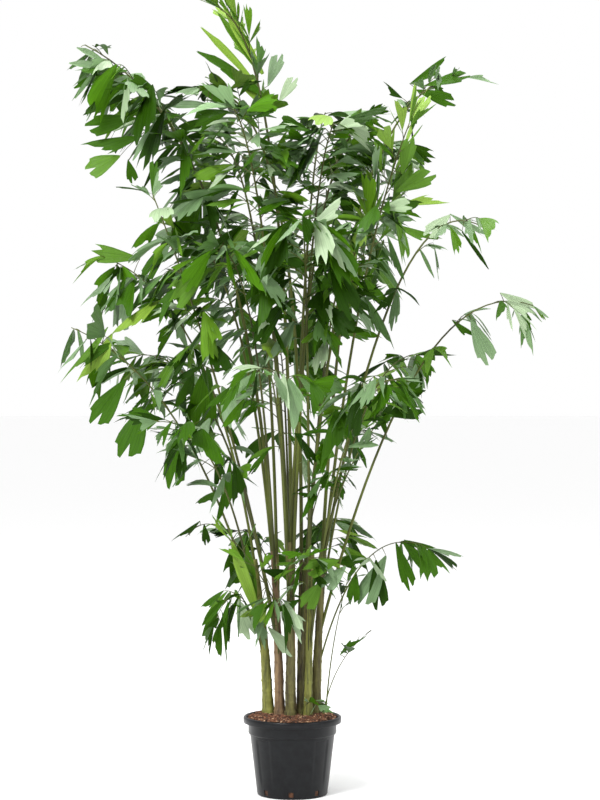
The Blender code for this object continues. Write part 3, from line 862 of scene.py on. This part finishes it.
def cut_drains(pot):
    """Cuts the drain holes through the foot of the wall."""
    shape = bmesh.new()
    for index in range(DRAIN_HOLES):
        angle = math.tau * index / DRAIN_HOLES + math.radians(DRAIN_FIRST)
        cos = math.cos(angle)
        sin = math.sin(angle)
        middle = (BASE_RADIUS, 0, (DRAIN_TOP + DRAIN_FOOT) / 2)
        size = (0.02, DRAIN_WIDTH, DRAIN_TOP - DRAIN_FOOT)
        block = bmesh.ops.create_cube(shape, size=1.0)["verts"]
        bmesh.ops.scale(shape, verts=block, vec=size)
        bmesh.ops.translate(shape, verts=block, vec=middle)
        for corner in block:
            x, y, z = corner.co
            corner.co = (x * cos - y * sin, x * sin + y * cos, z)
    cutter = new_piece("drains", shape)
    modifier = pot.modifiers.new("drains", "BOOLEAN")
    modifier.operation = "DIFFERENCE"
    modifier.object = cutter
    modifier.solver = "EXACT"
    graph = bpy.context.evaluated_depsgraph_get()
    cut = bpy.data.meshes.new_from_object(pot.evaluated_get(graph))
    pot.modifiers.clear()
    old = pot.data
    pot.data = cut
    bpy.data.meshes.remove(old)
    bpy.data.objects.remove(cutter)


def make_chips(name, count, small, large, material):
    """Flakes of bark, tumbled on the soil between the canes."""
    shape = bmesh.new()
    feet = [(values[0], values[1], values[5]) for values in CANES.values()]
    for _ in range(count):
        while True:
            angle = DRAW.uniform(0, math.tau)
            radius = (SOIL_RADIUS - 0.004) * math.sqrt(DRAW.random())
            x = radius * math.cos(angle)
            y = radius * math.sin(angle)
            if all(math.hypot(x - a, y - b) > r for a, b, r in feet):
                break
        block = bmesh.ops.create_cube(shape, size=1.0)["verts"]
        long = DRAW.uniform(small, large)
        turn = DRAW.uniform(0, math.tau)
        tip = DRAW.uniform(-0.5, 0.5)
        level = soil_level(radius) + CHIP_LIFT * DRAW.random()
        for corner in block:
            a = corner.co.x * long * (0.6 + 0.4 * (corner.co.y > 0))
            b = corner.co.y * long * CHIP_WIDTH
            c = corner.co.z * long * CHIP_THICKNESS + a * tip
            corner.co = (
                x + a * math.cos(turn) - b * math.sin(turn),
                y + a * math.sin(turn) + b * math.cos(turn),
                level + c,
            )
    return new_piece(name, shape, material)


def soil_level(radius):
    """Height of the soil, which falls off at its edge."""
    return SOIL_TOP - SOIL_FALL * max(0.0, (radius - SHOULDER_RADIUS) / SHOULDER_WIDTH)


# Finishes.

def new_finish(name, roughness, specular=0.5):
    """A material with its constant values set on the shader."""
    material = bpy.data.materials.new(name)
    material.use_nodes = True
    shader = material.node_tree.nodes["Principled BSDF"]
    shader.inputs["Roughness"].default_value = roughness
    shader.inputs["Specular IOR Level"].default_value = specular
    return material, material.node_tree.nodes, material.node_tree.links, shader


def new_group(name, takes):
    """A node group with the sockets it takes, that gives a colour and a height."""
    group = bpy.data.node_groups.new(name, "ShaderNodeTree")
    for socket, kind in takes:
        group.interface.new_socket(socket, in_out="INPUT", socket_type="NodeSocket" + kind)
    group.interface.new_socket("Color", in_out="OUTPUT", socket_type="NodeSocketColor")
    group.interface.new_socket("Height", in_out="OUTPUT", socket_type="NodeSocketFloat")
    given = group.nodes.new("NodeGroupInput")
    made = group.nodes.new("NodeGroupOutput")
    return group, group.nodes, group.links, given, made


def mottle_group():
    """A stretched noise between two colours, and the same as a height."""
    takes = (
        ("Vector", "Vector"),
        ("Light", "Color"),
        ("Dark", "Color"),
        ("Scale", "Float"),
        ("Detail", "Float"),
    )
    group, nodes, links, given, made = new_group("mottle", takes)
    cloud = nodes.new("ShaderNodeTexNoise")
    cloud.inputs["Roughness"].default_value = MOTTLE_ROUGHNESS
    ramp = nodes.new("ShaderNodeMapRange")
    mix = nodes.new("ShaderNodeMix")
    mix.data_type = "RGBA"
    ramp.inputs["From Min"].default_value = MOTTLE_NOISE[0]
    ramp.inputs["From Max"].default_value = MOTTLE_NOISE[1]
    links.new(given.outputs["Vector"], cloud.inputs["Vector"])
    links.new(given.outputs["Scale"], cloud.inputs["Scale"])
    links.new(given.outputs["Detail"], cloud.inputs["Detail"])
    links.new(cloud.outputs["Fac"], ramp.inputs["Value"])
    links.new(ramp.outputs["Result"], mix.inputs["Factor"])
    links.new(given.outputs["Light"], mix.inputs["A"])
    links.new(given.outputs["Dark"], mix.inputs["B"])
    links.new(mix.outputs["Result"], made.inputs["Color"])
    links.new(cloud.outputs["Fac"], made.inputs["Height"])
    return group


def vein_group():
    """Fine veins that fan from the leaf's foot, as a tint of its colour and as a height."""
    takes = (("Vector", "Vector"), ("Green", "Color"))
    group, nodes, links, given, made = new_group("veins", takes)
    mapping = nodes.new("ShaderNodeMapping")
    mapping.inputs["Scale"].default_value = VEIN_STRETCH
    veins = nodes.new("ShaderNodeTexNoise")
    veins.inputs["Scale"].default_value = VEIN_SCALE
    veins.inputs["Detail"].default_value = VEIN_DETAIL
    spread = nodes.new("ShaderNodeMapRange")
    spread.inputs["From Min"].default_value = VEIN_NOISE[0]
    spread.inputs["From Max"].default_value = VEIN_NOISE[1]
    spread.inputs["To Min"].default_value = VEIN_TINT[0]
    spread.inputs["To Max"].default_value = VEIN_TINT[1]
    tint = nodes.new("ShaderNodeMix")
    tint.data_type = "RGBA"
    tint.blend_type = "MULTIPLY"
    tint.inputs["Factor"].default_value = 1.0
    links.new(given.outputs["Vector"], mapping.inputs["Vector"])
    links.new(mapping.outputs["Vector"], veins.inputs["Vector"])
    links.new(veins.outputs["Fac"], spread.inputs["Value"])
    links.new(given.outputs["Green"], tint.inputs["A"])
    links.new(spread.outputs["Result"], tint.inputs["B"])
    links.new(tint.outputs["Result"], made.inputs["Color"])
    links.new(veins.outputs["Fac"], made.inputs["Height"])
    return group


MOTTLE = mottle_group()
VEINS = vein_group()


def mottled(name, light, dark, roughness, scale, stretch=(1, 1, 1), bump=0.0, specular=0.5):
    """A finish mottled in two colours, with the mottle raised where bump is given."""
    material, nodes, links, shader = new_finish(name, roughness, specular)
    place = nodes.new("ShaderNodeTexCoord")
    mapping = nodes.new("ShaderNodeMapping")
    mapping.inputs["Scale"].default_value = stretch
    group = nodes.new("ShaderNodeGroup")
    group.node_tree = MOTTLE
    group.inputs["Light"].default_value = (*light, 1)
    group.inputs["Dark"].default_value = (*dark, 1)
    group.inputs["Scale"].default_value = scale
    group.inputs["Detail"].default_value = MOTTLE_DETAIL
    links.new(place.outputs["Object"], mapping.inputs["Vector"])
    links.new(mapping.outputs["Vector"], group.inputs["Vector"])
    links.new(group.outputs["Color"], shader.inputs["Base Color"])
    if bump:
        relief = nodes.new("ShaderNodeBump")
        relief.inputs["Strength"].default_value = bump
        relief.inputs["Distance"].default_value = MOTTLE_DEPTH
        links.new(group.outputs["Height"], relief.inputs["Height"])
        links.new(relief.outputs["Normal"], shader.inputs["Normal"])
    return material


def leaf_finish(name, upper, under, roughness, shine):
    """Ribbed leaf: fine veins fan from the foot, and the under side has its own green, lifted where it is
    the lighter one to paint light shining through the leaf.
    """
    material, nodes, links, shader = new_finish("leaf_" + name, roughness, shine)
    blade = nodes.new("ShaderNodeUVMap")
    blade.uv_map = "blade"
    # Backfacing gives the under side its colour: painted light shining through the leaf where that colour
    # is the lighter one; the upper side keeps any painted sheen of its green.
    back = nodes.new("ShaderNodeNewGeometry")
    sides = nodes.new("ShaderNodeMix")
    sides.data_type = "RGBA"
    sides.inputs["A"].default_value = (*upper, 1)
    sides.inputs["B"].default_value = (*under, 1)
    veins = nodes.new("ShaderNodeGroup")
    veins.node_tree = VEINS
    relief = nodes.new("ShaderNodeBump")
    relief.inputs["Strength"].default_value = VEIN_BUMP
    relief.inputs["Distance"].default_value = VEIN_DEPTH
    links.new(blade.outputs["UV"], veins.inputs["Vector"])
    links.new(back.outputs["Backfacing"], sides.inputs["Factor"])
    links.new(sides.outputs["Result"], veins.inputs["Green"])
    links.new(veins.outputs["Color"], shader.inputs["Base Color"])
    links.new(veins.outputs["Height"], relief.inputs["Height"])
    links.new(relief.outputs["Normal"], shader.inputs["Normal"])
    return material


# Stage.

def make_stage():
    """A pale floor, an even white surround and three soft lamps."""
    material, _, _, shader = new_finish("studio_floor", 0.9)
    shader.inputs["Base Color"].default_value = FLOOR_COLOUR
    shape = bmesh.new()
    bmesh.ops.create_grid(shape, x_segments=1, y_segments=1, size=FLOOR_SIZE)
    floor = new_piece("studio_floor", shape, material)
    floor.location.z = -FLOOR_GAP

    world = bpy.data.worlds.new("studio")
    world.use_nodes = True
    world.node_tree.nodes["Background"].inputs["Color"].default_value = (1, 1, 1, 1)
    world.node_tree.nodes["Background"].inputs["Strength"].default_value = 1.0
    bpy.context.scene.world = world
    for lamp in LAMPS:
        add_light(*lamp)


def add_light(name, place, size, power):
    """A square lamp turned to the middle of the crown."""
    lamp = bpy.data.lights.new(name, "AREA")
    lamp.shape = "SQUARE"
    lamp.size = size
    lamp.energy = power
    made = bpy.data.objects.new(name, lamp)
    made.location = place
    made.rotation_euler = (LAMP_AIM - Vector(place)).to_track_quat("-Z", "Y").to_euler()
    bpy.context.scene.collection.objects.link(made)


def make_camera():
    """A level camera at the height of the plant's middle."""
    lens = bpy.data.cameras.new("camera")
    lens.lens = FOCAL_LENGTH
    lens.sensor_width = SENSOR
    made = bpy.data.objects.new("camera", lens)
    made.location = CAMERA
    made.rotation_euler = (math.radians(90), 0, 0)
    bpy.context.scene.collection.objects.link(made)
    bpy.context.scene.camera = made


def finish_piece(piece, nodes=()):
    """Every piece rides on the one body, and the solids it stands for are hidden."""
    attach(piece, "root")
    if nodes:
        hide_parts(*nodes)


def make_foliage():
    """The stalks and side ribs in one piece, and the leaflets in one piece for each leaf green, with its
    painted sheen or shade where it has any.
    """
    grow_all()
    green = (0.090, 0.110, 0.018)
    brown = (0.030, 0.030, 0.010)
    skin = mottled("stalk_skin", green, brown, 0.5, 5.0, (1, 1, 0.2), bump=0.3, specular=0.2)
    stalks = tubes("stalks", stems, 1, skin)
    finish_piece(stalks, [*FRONDS, *SUCKERS])
    for name, finish in LEAF_GREENS_AND_PAINTED_LIGHT.items():
        if leaves[name]:
            piece = lay_leaves(name, leaves[name], leaf_finish(name, *finish))
            finish_piece(piece)


def make_canes():
    """The canes, in one piece for each kind of skin."""
    for name, (light, dark, members) in CANE_KINDS.items():
        grain = (1, 1, FIBRE_STRETCH)
        bark = mottled(name, light, dark, 0.6, 60.0, grain, bump=0.8, specular=0.3)
        canes = tubes(name, [cane_run(member) for member in members], 5, bark)
        roughen(canes, FIBRE_DEPTH, FIBRE_SCALE)
        finish_piece(canes, members)


def make_potting():
    """The pot, the soil's own solid with its compost, and the flakes of bark on it."""
    black = (0.007, 0.008, 0.009)
    blacker = (0.004, 0.004, 0.005)
    plastic = mottled("pot_plastic", black, blacker, 0.32, 30.0, bump=0.05, specular=0.18)
    finish_piece(make_pot(plastic), ["pot"])
    rust = (0.110, 0.045, 0.020)
    peat = (0.030, 0.013, 0.008)
    compost = mottled("compost", rust, peat, 0.95, 90.0, bump=1.0)
    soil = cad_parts["root_ball"]
    soil.data.materials.clear()
    soil.data.materials.append(compost)
    for name, count, small, large, light, dark in CHIPS:
        bits = mottled(name, light, dark, 0.9, 120.0, bump=0.4)
        finish_piece(make_chips(name, count, small, large, bits))


def main():
    """The whole plant in its pot, on its stage."""
    bpy.context.scene.view_settings.view_transform = "Standard"
    make_foliage()
    make_canes()
    make_potting()
    make_stage()
    make_camera()


main()
